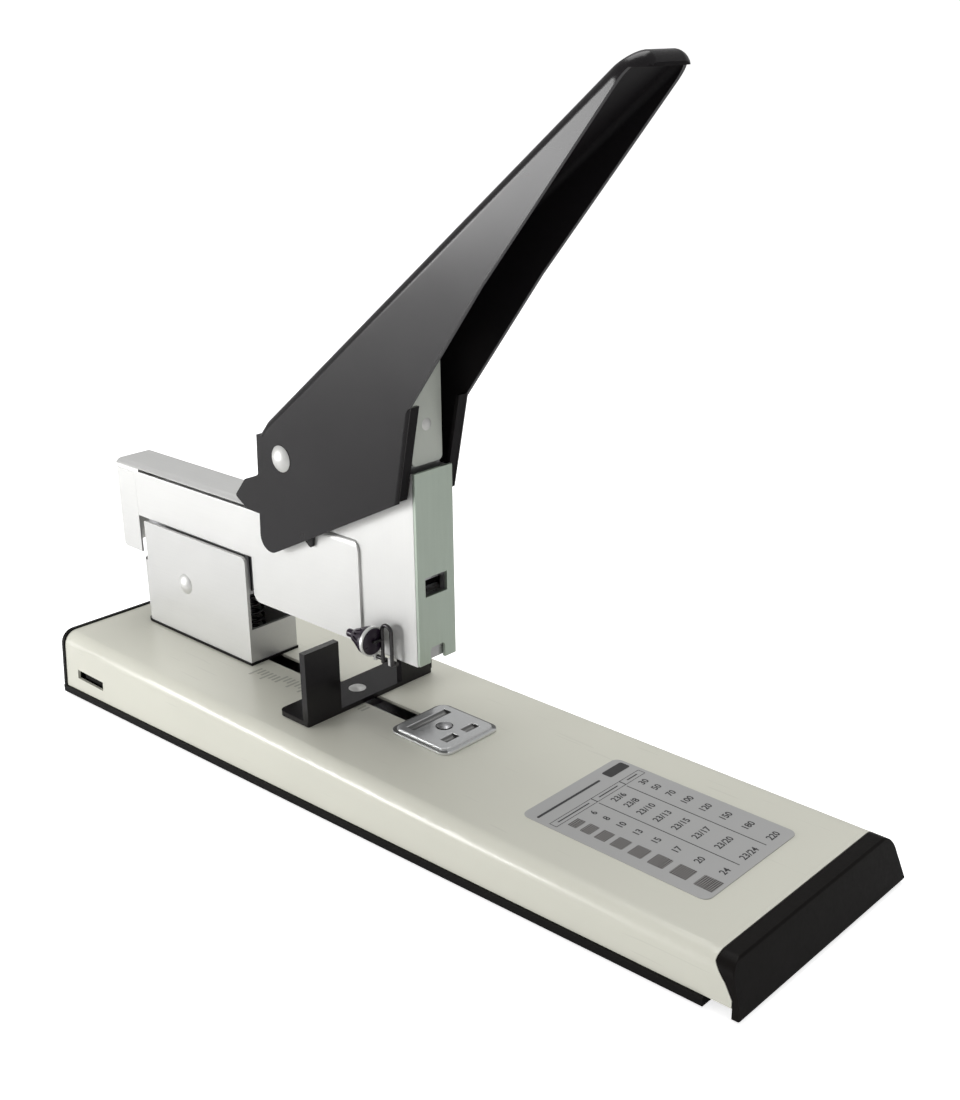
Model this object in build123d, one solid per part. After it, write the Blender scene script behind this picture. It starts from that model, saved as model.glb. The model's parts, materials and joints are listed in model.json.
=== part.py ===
from build123d import *
import math
import os

# Long reach heavy-duty stapler.
# Row frame: origin at the middle of the base's footprint on the table, +X to the front end cap,
# +Z up, millimetres. The base is a wedge, so everything on its deck is drawn in the deck's own
# frame (u along the deck, y across, h off the deck) and turned into the row frame by ON_DECK.

# ---- driving dimensions -------------------------------------------------------------------
LENGTH = 290.0
WIDTH = 80.0
DECK_WIDTH = 75.6
DECK_REAR = 23.3
DECK_FRONT = 14.2
FOOT_HEIGHT = 0.8
SHEET = 1.0
SKIRT_GAP = 3.4
DECK_BEND = 5.0

PIVOT_U = -105.5
PIVOT_H = 20.6
HANDLE_U = -44.6
HANDLE_H = 78.9
HANDLE_TURN = 31.0
PRESS_ARM = 46.0
ANVIL_U = 11.4
ANVIL_OFFSET = 6.5

HEAD_HALF = 8.4
HEAD_SHEET = 0.8
HEAD_REAR = -145.4
HEAD_FRONT = -15.5
HEAD_TOP = 58.5
HEAD_BOTTOM = 24.0
FRONT_HALF = 7.55
FRONT_SHEET = 1.0
FRONT_U = 8.3
FRONT_TOP = 83.2
PLATE = 1.1
HANDLE_HALF = 12.3
HANDLE_SHEET = 1.2
BRACKET_HALF = 10.0
BRACKET_SHEET = 1.2
BRACKET_REAR = -132.6
BRACKET_FRONT = -70.5
PAD = 0.8
RUNNING = 0.06

SLOPE = math.degrees(math.atan((DECK_REAR - DECK_FRONT) / LENGTH))
DECK_MID = (DECK_REAR + DECK_FRONT) / 2
ON_DECK = Pos(0, 0, DECK_MID) * Rot(0, SLOPE, 0)
TRAY_TOP = FOOT_HEIGHT + 1.4
POSTS = [(x, y) for x in (-100, 100) for y in (-26, 26)]
FEET = [(x, y) for x in (-128, 124) for y in (-30, 30)]
BRACKET_SCREWS = [(u, y) for u in (-124, -93) for y in (-5, 5)]
EAR_RIVETS = [-65, -56]


# ---- small helpers ------------------------------------------------------------------------
def deck_height(x):
    """Height of the deck's top face above the table at x."""
    return DECK_REAR + (DECK_FRONT - DECK_REAR) * (x + LENGTH / 2) / LENGTH


def box(x0, x1, y0, y1, z0, z1):
    """A box between two opposite corners."""
    return Pos((x0 + x1) / 2, (y0 + y1) / 2, (z0 + z1) / 2) * Box(x1 - x0, y1 - y0, z1 - z0)


def corners(points):
    """Split (a, b) or (a, b, radius) corners into points and radii."""
    return [(p[0], p[1]) for p in points], [p[2] if len(p) > 2 else 0 for p in points]


def side_plate(points, y0, y1):
    """A plate whose outline is drawn in the side view and which lies between y0 and y1."""
    places, radii = corners(points)
    outline = make_face(FilletPolyline(*places, radius=radii, close=True))
    return Pos(0, y1, 0) * extrude(Plane.XZ * outline, y1 - y0)


def pair(points, inner, outer):
    """The same side plate on both sides of the middle plane."""
    return side_plate(points, inner, outer) + side_plate(points, -outer, -inner)


def plan_plate(points, z0, z1):
    """A plate whose outline is drawn in the top view."""
    places, radii = corners(points)
    outline = make_face(FilletPolyline(*places, radius=radii, close=True))
    return Pos(0, 0, z0) * extrude(outline, z1 - z0)


def rod_y(x, z, radius, y0, y1):
    """A round bar along y."""
    return Pos(x, (y0 + y1) / 2, z) * Rot(90, 0, 0) * Cylinder(radius, y1 - y0)


def rod_x(y, z, radius, x0, x1):
    """A round bar along x."""
    return Pos((x0 + x1) / 2, y, z) * Rot(0, 90, 0) * Cylinder(radius, x1 - x0)


def rod_z(x, y, radius, z0, z1):
    """A round bar along z."""
    return Pos(x, y, (z0 + z1) / 2) * Cylinder(radius, z1 - z0)


def dome(radius, height):
    """A shallow rivet head standing on z = 0."""
    ball = (radius ** 2 + height ** 2) / (2 * height)
    cap = Pos(0, 0, height - ball) * Sphere(ball)
    return cap & rod_z(0, 0, radius * 1.5, 0, height * 1.5)


def coil(radius, wire, length, turns):
    """A coil spring of round wire standing on z = 0."""
    path = Helix(pitch=(length - wire) / turns, height=length - wire, radius=radius)
    section = Plane(path @ 0, z_dir=path % 0) * Circle(wire / 2)
    return Pos(0, 0, wire / 2) * sweep(section, path=path, is_frenet=True)


def section_at(x, outset, z0, bend):
    """Closed cross-section of the base at x, moved out from the deck and skirts by outset."""
    top = deck_height(x)
    draft = (WIDTH / 2 - 0.4 - DECK_WIDTH / 2) / top
    half_foot = WIDTH / 2 - 0.4 - draft * z0 + outset
    half_deck = DECK_WIDTH / 2 + outset
    points = [(-half_foot, z0), (half_foot, z0), (half_deck, top + outset), (-half_deck, top + outset)]
    outline = make_face(FilletPolyline(*points, radius=[0, 0, bend, bend], close=True))
    return Plane(origin=(x, 0, 0), x_dir=(0, 1, 0), z_dir=(1, 0, 0)) * outline


def base_body(x0, x1, inset, z0):
    """Solid between two cross-sections of the base, drawn in from the outside by inset."""
    ends = [section_at(x, -inset, z0, DECK_BEND - inset) for x in (x0, x1)]
    return loft(ends, ruled=True)


def front_rake(gap):
    """The space in front of the shell's raked front edge."""
    line = [(136 + gap, 40), (136 + gap, 12.8), (139.6 + gap, 9.0), (141.9 + gap, 5.4),
            (142.4 + gap, -5), (160, -5), (160, 40)]
    return side_plate(line, -60, 60)


# ---- base ---------------------------------------------------------------------------------
def base_shell():
    """Painted steel cover: deck and two skirts, with the guide slot and the clip windows."""
    outer = base_body(-LENGTH / 2 + 1.6, 143.4, 0, SKIRT_GAP)
    inner = base_body(-LENGTH / 2 - 5, 150, SHEET, SKIRT_GAP - 5)
    shell = outer - inner - front_rake(0)
    cuts = box(-72, 2.5, -3.25, 3.25, -3, 3)
    cuts += rod_z(ANVIL_U, 0, 1.6, -3, 3)
    for u, y in BRACKET_SCREWS:
        cuts += rod_z(u, y, 1.7, -3, 3)
    windows = box(-135.5, -119.5, -50, 50, -15.0, -11.8)
    return shell - ON_DECK * (cuts + windows)


def bottom_tray():
    """Black tray: floor, low rim, rear end wall, ribs and the seats of the screws."""
    half = WIDTH / 2
    floor = box(-LENGTH / 2, 134.6, -half, half, FOOT_HEIGHT, TRAY_TOP)
    rim = box(-LENGTH / 2, 134.6, -half, half, TRAY_TOP, SKIRT_GAP - 0.1)
    rim -= box(-200, 200, -half + 1.6, half - 1.6, 0, 10)
    rear = -LENGTH / 2
    wall_end = section_at(rear, 0.4, FOOT_HEIGHT, DECK_BEND)
    tray = floor + rim + extrude(wall_end, 1.5, dir=(1, 0, 0))
    for x in (-60, 10, 70):
        tray += box(x - 0.8, x + 0.8, -36, 36, TRAY_TOP, 5.6)
    for x, y in POSTS:
        tray += rod_z(x, y, 5.2, TRAY_TOP, 4.2)
        tray -= rod_z(x, y, 3.3, 0, 2.6)
        tray -= rod_z(x, y, 1.7, 0, 10)
    for x, y in FEET:
        tray -= rod_z(x, y, 2.05, 0, 10)
    return tray


def side_clips():
    """Snap tongues of the tray, seen in the windows of the skirts."""
    tongue = box(-132.6, -120.3, 35.2, 37.6, -14.6, -12.4)
    root = box(-132.6, -120.3, 34.0, 35.2, -19.0, -12.4)
    one = ON_DECK * (tongue + root)
    return one + mirror(one, Plane.XZ)


def front_end_cap():
    """Black plastic end cap with a sloping face; its tongue goes inside the shell."""
    profile = [(127, FOOT_HEIGHT), (145, FOOT_HEIGHT, 0.8), (140.9, 14.35, 1.0), (127, 14.8)]
    nose = side_plate(profile, -60, 60)
    front = base_body(120, 150, 0, FOOT_HEIGHT) & nose & front_rake(0.15)
    tongue = base_body(127, 143, SHEET + 0.15, SKIRT_GAP) & nose
    cap = front + tongue
    back_slope = side_plate([(136.6, 30), (141.4, -2), (160, -2), (160, 30)], -60, 60)
    cap -= base_body(120, 150, SHEET + 2.2, -1) - back_slope
    ribs = [box(131, 143, y - 0.8, y + 0.8, FOOT_HEIGHT + 2.2, 11.0) for y in (-20, 0, 20)]
    return cap + [rib & nose for rib in ribs]


def shell_posts():
    """Threaded posts welded under the deck for the tray screws."""
    posts = []
    for x, y in POSTS:
        post = rod_z(x, y, 3.6, 4.25, deck_height(x + 3.6) - SHEET - 0.02)
        posts.append(post - rod_z(x, y, 1.32, 0, 12))
    return Compound(children=posts)


def tray_screws():
    """Four screws that hold the tray to the posts."""
    screws = []
    for x, y in POSTS:
        screw = rod_z(x, y, 3.0, 1.0, 2.6) + rod_z(x, y, 1.3, 2.6, 11.5)
        cross = box(x - 1.7, x + 1.7, y - 0.3, y + 0.3, 0, 1.7)
        cross += box(x - 0.3, x + 0.3, y - 1.7, y + 1.7, 0, 1.7)
        screws.append(screw - cross)
    return Compound(children=screws)


def rubber_feet():
    """Four rubber feet with studs pressed into the tray."""
    feet = []
    for x, y in FEET:
        disc = rod_z(x, y, 6.5, 0, FOOT_HEIGHT)
        feet.append(disc + rod_z(x, y, 2.0, FOOT_HEIGHT, 3.6))
    return Compound(children=feet)


def inner_channel():
    """Steel channel under the deck that ties the bracket to the anvil."""
    floor = box(-134, 38, -15.5, 15.5, -9.9, -8.5)
    channel = floor
    for y0, y1 in ((14.1, 15.5), (-15.5, -14.1)):
        channel += box(-134, 38, y0, y1, -8.5, -SHEET - 0.05)
    for u, y in BRACKET_SCREWS:
        channel -= rod_z(u, y, 1.6, -20, 0)
    channel -= rod_z(ANVIL_U, 0, 1.6, -20, 0)
    return channel


def anvil_block():
    """Block between the channel and the deck under the anvil."""
    block = box(ANVIL_U - 8, ANVIL_U + 12, -13.9, 13.9, -8.45, -SHEET - 0.05)
    return block - rod_z(ANVIL_U, 0, 1.6, -20, 0)


def anvil_rivet():
    """Rivet on which the anvil plate turns."""
    rivet = rod_z(ANVIL_U, 0, 1.5, -11.0, 1.9) + Pos(ANVIL_U, 0, 1.75) * dome(2.4, 0.6)
    return rivet + rod_z(ANVIL_U, 0, 2.6, -11.0, -9.92)


def size_label():
    """Sticker with the table of staple sizes."""
    return plan_plate([(61.5, -21.2, 2.5), (122.8, -21.2, 2.5), (122.8, 21.2, 2.5), (61.5, 21.2, 2.5)],
                      0.0, 0.2)


def bracket_pad():
    """Black pad between the bracket and the deck."""
    half = BRACKET_HALF + 0.4
    pad = plan_plate([(BRACKET_REAR - 0.5, -half, 5), (BRACKET_FRONT + 0.4, -half, 0.5),
                      (BRACKET_FRONT + 0.4, half, 0.5), (BRACKET_REAR - 0.5, half, 5)], 0.0, PAD)
    for u, y in BRACKET_SCREWS:
        pad -= rod_z(u, y, 1.6, -1, 2)
    return pad


def rear_bracket():
    """Nickel-plated bracket: two cheeks round a rear bend, a floor and a low front wall."""
    half = BRACKET_HALF
    inner = half - BRACKET_SHEET
    rear = BRACKET_REAR
    top = 38.9
    front = BRACKET_FRONT - BRACKET_SHEET
    outer = plan_plate([(rear, -half, 4.5), (BRACKET_FRONT, -half), (BRACKET_FRONT, half),
                        (rear, half, 4.5)], PAD, top)
    hollow = plan_plate([(rear + BRACKET_SHEET, -inner, 3.3), (front, -inner), (front, inner),
                         (rear + BRACKET_SHEET, inner, 3.3)], PAD + BRACKET_SHEET, top + 1)
    bracket = outer - hollow
    bracket -= box(BRACKET_FRONT - 2, BRACKET_FRONT + 1, -inner, inner, 12.7, top + 1)
    bracket -= box(rear - 1, rear + 4.6, -20, 20, 24.0, top + 1)
    bracket -= rod_y(PIVOT_U, PIVOT_H, 2.5, -20, 20)
    for u, y in BRACKET_SCREWS:
        bracket -= rod_z(u, y, 1.6, -1, 5)
    front_edges = [e for e in bracket.edges().filter_by(Axis.Y)
                   if abs(e.center().X - BRACKET_FRONT) < 0.01 and e.center().Z > top - 0.01]
    return fillet(front_edges, 2.0)


def bracket_screws():
    """Screws from the bracket's floor through the deck and the channel."""
    screws = []
    for u, y in BRACKET_SCREWS:
        seat = PAD + BRACKET_SHEET
        screw = rod_z(u, y, 1.5, -12.6, seat) + Pos(u, y, seat) * dome(2.9, 1.5)
        screws.append(screw)
    return Compound(children=screws)


def bracket_nuts():
    """Nuts of the bracket screws, under the channel."""
    nuts = []
    for u, y in BRACKET_SCREWS:
        nut = Pos(u, y, -12.3) * extrude(RegularPolygon(2.75, 6, major_radius=False), 2.35)
        nuts.append(nut - rod_z(u, y, 1.52, -20, 0))
    return Compound(children=nuts)


def head_pivot_pin():
    """Riveted pin through the bracket's cheeks, on which the head tips."""
    pin = rod_y(PIVOT_U, PIVOT_H, 2.48, -BRACKET_HALF, BRACKET_HALF)
    for side in (-1, 1):
        head = Pos(PIVOT_U, side * BRACKET_HALF, PIVOT_H) * Rot(-90 * side, 0, 0) * dome(3.7, 1.5)
        pin += head
    return pin


def return_spring():
    """Compression spring that lifts the head off the deck."""
    return Pos(-81.5, 0, PAD + BRACKET_SHEET + 0.05) * coil(3.9, 1.0, 22.2, 7)


# ---- anvil --------------------------------------------------------------------------------
def anvil_plate():
    """Chromed anvil with one long clinching groove and, half a turn away, two short ones."""
    def slab(grow, z0, z1, radius):
        a, b = 12.5 - grow, 12.0 - grow
        return plan_plate([(-a, -b, radius), (a, -b, radius), (a, b, radius), (-a, b, radius)], z0, z1)
    plate = slab(0, 0.1, 0.8, 3.4) + slab(1.3, 0.8, 1.6, 2.4)
    plate = chamfer(plate.edges().filter_by(lambda e: abs(e.center().Z - 1.6) < 0.01), 0.3)
    plate -= Pos(-ANVIL_OFFSET, 0, 2.6) * Rot(90, 0, 0) * Cylinder(2.0, 16.4)
    for y in (-4.4, 4.4):
        plate -= Pos(ANVIL_OFFSET, y, 2.45) * Rot(90, 0, 0) * Cylinder(1.8, 5.6)
    plate -= rod_z(0, 0, 1.5 + RUNNING, -1, 3)
    plate -= rod_z(0, 0, 2.75, 1.3, 3)
    return Pos(ANVIL_U, 0, 0) * plate


# ---- depth guide --------------------------------------------------------------------------
GUIDE_REAR = -35.5
GUIDE_FRONT = -21.0
GUIDE_HALF = 27.0
FENCE_INNER = 13.2


def depth_guide():
    """Black cross bar with an upright paper fence at each end."""
    bar = plan_plate([(GUIDE_REAR, -GUIDE_HALF, 2.5), (GUIDE_FRONT, -GUIDE_HALF, 0.6),
                      (GUIDE_FRONT, GUIDE_HALF, 0.6), (GUIDE_REAR, GUIDE_HALF, 2.5)], 0.1, 1.7)
    middle = (GUIDE_REAR + GUIDE_FRONT) / 2
    guide = bar
    for side in (-1, 1):
        y0, y1 = sorted((side * FENCE_INNER, side * GUIDE_HALF))
        fence = box(GUIDE_FRONT - 2.4, GUIDE_FRONT, y0, y1, 1.7, 24.8)
        guide += fence
    return guide - rod_z(middle, 0, 1.55, -1, 3)


def guide_shoe():
    """Shoe that holds the guide in the slot from under the deck."""
    middle = (GUIDE_REAR + GUIDE_FRONT) / 2
    shoe = box(middle - 6, middle + 6, -8, 8, -3.4, -SHEET - 0.35)
    shoe += box(middle - 5, middle + 5, -2.95, 2.95, -SHEET - 0.35, 0.08)
    return shoe - rod_z(middle, 0, 1.55, -5, 3)


def guide_rivet():
    """Rivet through the guide bar and its shoe."""
    middle = (GUIDE_REAR + GUIDE_FRONT) / 2
    rivet = rod_z(middle, 0, 1.5, -3.9, 1.7) + Pos(middle, 0, 1.7) * dome(2.9, 0.8)
    return rivet + rod_z(middle, 0, 2.4, -4.3, -3.42)


# ---- head ---------------------------------------------------------------------------------
def u_section(half, top, bottom, sheet, bend):
    """Inverted channel section with rounded top bends, in the y-h plane."""
    outer = [(-half, bottom), (half, bottom), (half, top, bend), (-half, top, bend)]
    inner = [(-half + sheet, bottom - 1), (half - sheet, bottom - 1),
             (half - sheet, top - sheet, bend - sheet), (-half + sheet, top - sheet, bend - sheet)]
    faces = []
    for outline in (outer, inner):
        places, radii = corners(outline)
        faces.append(make_face(FilletPolyline(*places, radius=radii, close=True)))
    return faces[0] - faces[1]


def channel_x(half, top, bottom, sheet, bend, u0, u1):
    """Inverted channel running along the deck."""
    face = u_section(half, top, bottom, sheet, bend)
    return extrude(Plane(origin=(u0, 0, 0), x_dir=(0, 1, 0), z_dir=(1, 0, 0)) * face, u1 - u0)


def head_housing():
    """Nickel-plated cover of the magazine, with the long slots and the cut-out for the bracket."""
    cover = channel_x(HEAD_HALF, HEAD_TOP, HEAD_BOTTOM, HEAD_SHEET, 2.8, HEAD_REAR, HEAD_FRONT)
    cover -= box(-160, -68.5, -20, 20, 0, 39.6)
    cover -= box(HEAD_REAR - 1, -133.4, -20, 20, 0, HEAD_TOP - 3.0)
    cover -= box(-131.5, -66, -20, 20, 56.2, 57.1)
    cover -= box(-50, 0, -FRONT_HALF - 0.1, FRONT_HALF + 0.1, 50, 70)
    corner = side_plate([(HEAD_FRONT - 4.5, HEAD_TOP - 4.5), (HEAD_FRONT + 2, HEAD_TOP - 4.5),
                         (HEAD_FRONT + 2, HEAD_TOP + 2), (HEAD_FRONT - 4.5, HEAD_TOP + 2)], -20, 20)
    corner -= rod_y(HEAD_FRONT - 4.5, HEAD_TOP - 4.5, 4.5, -21, 21)
    foot = side_plate([(-69, 23), (-66, 23), (-66, 26), (-69, 26)], -20, 20) - rod_y(-65.5, 27, 3, -21, 21)
    for u in EAR_RIVETS:
        cover -= rod_z(u, 0, 1.5, 50, 70)
    return cover - corner - foot


def rear_cap():
    """Closed rear end of the head."""
    top = HEAD_TOP - 3.05
    outer = plan_plate([(HEAD_REAR, -HEAD_HALF, 1.2), (-133.5, -HEAD_HALF), (-133.5, HEAD_HALF),
                        (HEAD_REAR, HEAD_HALF, 1.2)], 25.5, top)
    inner = box(HEAD_REAR + 1.2, -120, -HEAD_HALF + HEAD_SHEET, HEAD_HALF - HEAD_SHEET, 20, top + 1)
    cap = outer - inner
    corner = side_plate([(HEAD_REAR - 1, 24), (HEAD_REAR + 3, 24), (HEAD_REAR + 3, 28.5),
                         (HEAD_REAR - 1, 28.5)], -20, 20)
    return cap - (corner - rod_y(HEAD_REAR + 3, 28.5, 3, -21, 21))


def pivot_frame():
    """Inner frame of the head with the ears that turn on the pivot pin."""
    outline = [(-128, 41), (-116, 38, 3), (-112.5, 14.2, 6), (-98.5, 14.2, 6), (-95, 24.4, 2),
               (-73, 24.4), (-73, 52), (-128, 52)]
    frame = pair(outline, 6.3, 7.5)
    frame += box(-128, -73, -7.5, 7.5, 50.8, 52)
    frame += box(-90, -73, -7.5, 7.5, 24.4, 25.6)
    return frame - rod_y(PIVOT_U, PIVOT_H, 2.48 + RUNNING, -20, 20)


def pivot_bush():
    """Spacer bush round the pivot pin, between the frame's ears."""
    bush = rod_y(PIVOT_U, PIVOT_H, 4.2, -6.28, 6.28)
    return bush - rod_y(PIVOT_U, PIVOT_H, 2.48 + RUNNING, -10, 10)


def front_housing():
    """Upright nickel-plated sides of the driver housing, with its back wall and latch lugs."""
    outline = [(FRONT_U, 23.0), (FRONT_U, FRONT_TOP), (-5.5, FRONT_TOP, 3), (-20, 64, 4), (-38, 57),
               (-38, 24.2), (-12, 24.2), (-10.5, 23.0)]
    sides = pair(outline, FRONT_HALF - FRONT_SHEET, FRONT_HALF)
    back = box(-5.9, -4.9, -FRONT_HALF + FRONT_SHEET, FRONT_HALF - FRONT_SHEET, 52, FRONT_TOP - 1)
    arm_gap = box(-7, -4, -2.8, 2.8, 60, 90)
    housing = sides + back - arm_gap
    for u in (-8.4, -1.9):
        lug = box(u - 0.5, u + 0.5, -9.7, -FRONT_HALF + 0.5, 21.1, 23.6)
        housing += lug
    return housing - rod_x(LATCH_Y, LATCH_H, 0.68 + RUNNING, -12, 6)


def front_plate():
    """Front cover plate of the driver housing with its window and staple mouth."""
    u0 = FRONT_U + 0.15
    plate = box(u0, u0 + PLATE, -7.65, 7.65, 23.4, FRONT_TOP + 0.5)
    plate -= box(0, 20, -4.5, 4.5, 45.0, 51.0)
    plate -= box(0, 20, -3.0, 3.0, 20, 26.6)
    mouth = rod_x(0, 26.6, 3.0, 0, 20)
    return plate - (mouth & box(0, 20, -3, 3, 26.6, 28.2))


def staple_guide():
    """Steel guide behind the front plate that the staple legs run down."""
    guide = box(6.35, FRONT_U, -6.45, 6.45, 24.0, 58.0)
    return guide - box(0, 20, -4.6, 4.6, 44.8, 51.2)


def magazine_rail():
    """Inner rail that carries the staples."""
    return channel_x(5.9, 46.0, 26.0, 1.0, 1.4, -131.0, 4.8)


def pusher_rod():
    """Guide rod of the pusher spring, inside the rail."""
    return rod_x(0, 37.5, 1.2, -130.5, 4.0)


def pusher_spring():
    """Spring on the rod that drives the pusher."""
    return Pos(-128, 0, 37.5) * Rot(0, 90, 0) * coil(2.7, 0.8, 112, 26)


def pivot_ears():
    """Black pressed saddle on top of the head that carries the handle pin."""
    outline = [(-72.8, 60.6, 0.8), (-67.2, 67.2, 2), (-60, 70, 3), (-54, 86, 5), (-36, 86, 6),
               (-32.6, 68, 4), (-35.6, 50.6, 0.8), (-39.6, 53.6, 2), (-60, 56.8, 3), (-67, 57.0, 1)]
    ears = pair(outline, HEAD_HALF + 0.15, HEAD_HALF + 1.35)
    ears += box(-70, -52, -HEAD_HALF - 0.2, HEAD_HALF + 0.2, HEAD_TOP + 0.05, HEAD_TOP + 1.25)
    for u in EAR_RIVETS:
        ears -= rod_z(u, 0, 1.5, 50, 66)
    return ears - rod_y(HANDLE_U, HANDLE_H, 2.5, -20, 20)


def ear_rivets():
    """Rivets that fix the saddle to the head cover."""
    rivets = []
    for u in EAR_RIVETS:
        rivet = rod_z(u, 0, 1.5, HEAD_TOP - 1.8, HEAD_TOP + 1.25)
        rivets.append(rivet + Pos(u, 0, HEAD_TOP + 1.25) * dome(2.6, 1.0))
    return Compound(children=rivets)


def handle_pin():
    """Domed pin on which the handle turns."""
    pin = rod_y(HANDLE_U, HANDLE_H, 2.48, -HANDLE_HALF - 0.12, HANDLE_HALF + 0.12)
    for side in (-1, 1):
        place = Pos(HANDLE_U, side * (HANDLE_HALF + 0.12), HANDLE_H) * Rot(-90 * side, 0, 0)
        pin += place * dome(4.3, 1.7)
    return pin


def handle_spring():
    """Torsion spring on the handle pin."""
    return Pos(HANDLE_U, 7.0, HANDLE_H) * Rot(90, 0, 0) * coil(4.1, 1.3, 14.0, 8)


# ---- hammer -------------------------------------------------------------------------------
STROKE = 2 * PRESS_ARM * math.sin(math.radians(HANDLE_TURN / 2))
PRESS_U = HANDLE_U + PRESS_ARM * math.cos(math.radians(HANDLE_TURN / 2))
PRESS_MID_U = HANDLE_U + PRESS_ARM
PRESS_H = HANDLE_H + PRESS_ARM * math.sin(math.radians(HANDLE_TURN / 2))
BLADE_END = 24.0 + STROKE
COVER_END = 84.9
HAMMER_TOP = 119.0


def hammer_block():
    """Forked block that the handle's press pin drives down."""
    block = box(-4.1, 6.05, -5.9, 5.9, PRESS_H - 6.4, PRESS_H + 8.0)
    block -= box(-10, 4.65, -2.95, 2.95, 0, 200)
    slot = box(PRESS_U - 0.1, PRESS_MID_U + 0.1, -20, 20, PRESS_H - 2.0, PRESS_H + 2.0)
    slot += rod_y(PRESS_U - 0.1, PRESS_H, 2.0, -20, 20) + rod_y(PRESS_MID_U + 0.1, PRESS_H, 2.0, -20, 20)
    block -= slot & box(-10, 4.65, -20, 20, 0, 200)
    return block - rod_x(0, PRESS_H + 5.4, 1.6, 0, 20)


def driver_blade():
    """Blade that shears a staple off the strip and drives it down."""
    return box(5.1, 6.05, -6.1, 6.1, BLADE_END, PRESS_H - 6.45)


def hammer_cover():
    """Light grey cover plate of the hammer, seen between the handle's sides."""
    places, radii = corners([(-6.15, COVER_END, 1.6), (6.15, COVER_END, 1.6), (6.15, HAMMER_TOP, 1.0),
                             (-6.15, HAMMER_TOP, 1.0)])
    outline = make_face(FilletPolyline(*places, radius=radii, close=True))
    plate = extrude(Plane(origin=(6.1, 0, 0), x_dir=(0, 1, 0), z_dir=(1, 0, 0)) * outline, 1.1)
    return plate - rod_x(0, PRESS_H + 5.4, 1.6, 0, 20)


def hammer_rivet():
    """Rivet that joins the cover to the block."""
    rivet = rod_x(0, PRESS_H + 5.4, 1.55, 4.7, 7.2)
    return rivet + Pos(7.2, 0, PRESS_H + 5.4) * Rot(0, 90, 0) * dome(1.9, 0.35)


# ---- handle -------------------------------------------------------------------------------
WEB_FOOT = (-56.2, 84.6)
WEB_KNEE = (-52.0, 89.4)
TIP_TOP = (88.6, 201.0)
EDGE_TIP = (85.0, 194.0)
EDGE_MID = (40.4, 140.8)
EDGE_KNEE = (12.7, 104.4)
EDGE_LOW = (6.6, 75.2)
FLANGE_REAR = (-58.0, 42.9)
LIP_INNER = 8.0
WEB_ANGLE = math.atan2(TIP_TOP[1] - WEB_KNEE[1], TIP_TOP[0] - WEB_KNEE[0])


def web_height(u):
    """Height of the web's outer face at u."""
    return WEB_KNEE[1] + (u - WEB_KNEE[0]) * math.tan(WEB_ANGLE)


def lever_blank(half, inset, tip_radius, bend):
    """Solid inside the lever's outer skin, drawn in by inset, with its long bends and round tip."""
    knee = (WEB_KNEE[0] + 1.3 * inset * math.sin(WEB_ANGLE), WEB_KNEE[1] - inset * math.cos(WEB_ANGLE))
    foot = (WEB_FOOT[0] + 0.8 * inset, WEB_FOOT[1] - 0.6 * inset)
    tip = (TIP_TOP[0] - inset, web_height(TIP_TOP[0] - inset) - inset / math.cos(WEB_ANGLE))
    side = [foot, knee, tip, (tip[0], EDGE_TIP[1] - 12), (60, 60), (60, 20), (-80, 20), (-80, foot[1])]
    blank = side_plate(side, -half, half)
    rims = [e for e in blank.edges().filter_by(GeomType.LINE) if abs(abs(e.center().Y) - half) < 0.01]
    tips = [e for e in rims if abs(e.center().X - tip[0]) < 0.5]
    blank = fillet(tips, tip_radius)
    skins = [f for f in blank.faces() if f.normal_at().Z > 0.5 and f.normal_at().X < -0.3]
    web = max(skins, key=lambda f: f.area)
    bends = [e for e in web.edges() if e.center().X > WEB_KNEE[0] + 3]
    for e in blank.edges().filter_by(GeomType.LINE):
        middle = e.center()
        if abs(abs(middle.Y) - half) < 0.01 and foot[0] < middle.X < knee[0] and middle.Z > foot[1] + 0.5:
            bends.append(e)
    return fillet(bends, bend)


def handle_channel():
    """Black pressed-steel lever: two flanges, a web along the back and a closed round tip."""
    side = [(*FLANGE_REAR, 5), EDGE_LOW, EDGE_KNEE, EDGE_MID, EDGE_TIP, (100, 194), (100, 220),
            (WEB_FOOT[0], 220), (WEB_FOOT[0], WEB_FOOT[1] - 0.5)]
    lever = lever_blank(HANDLE_HALF, 0, 7, 3.2) & side_plate(side, -20, 20)
    lever -= lever_blank(HANDLE_HALF - HANDLE_SHEET, HANDLE_SHEET, 5.8, 2.0)
    lip = side_plate([(EDGE_LOW[0], EDGE_LOW[1] + 0.6), EDGE_KNEE, (EDGE_KNEE[0] - HANDLE_SHEET, EDGE_KNEE[1]),
                      (EDGE_LOW[0] - HANDLE_SHEET, EDGE_LOW[1] + 0.6)], -HANDLE_HALF, HANDLE_HALF)
    lever += lip - box(-20, 30, -LIP_INNER, LIP_INNER, 60, 120)
    fold = [e for e in lever.edges() if abs(abs(e.center().Y) - HANDLE_HALF) < 0.01
            and abs(e.center().X - (EDGE_LOW[0] + EDGE_KNEE[0]) / 2) < 0.5 and e.length > 20]
    lever = fillet(fold, 1.0)
    return lever - rod_y(HANDLE_U, HANDLE_H, 2.48 + RUNNING, -20, 20)


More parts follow.
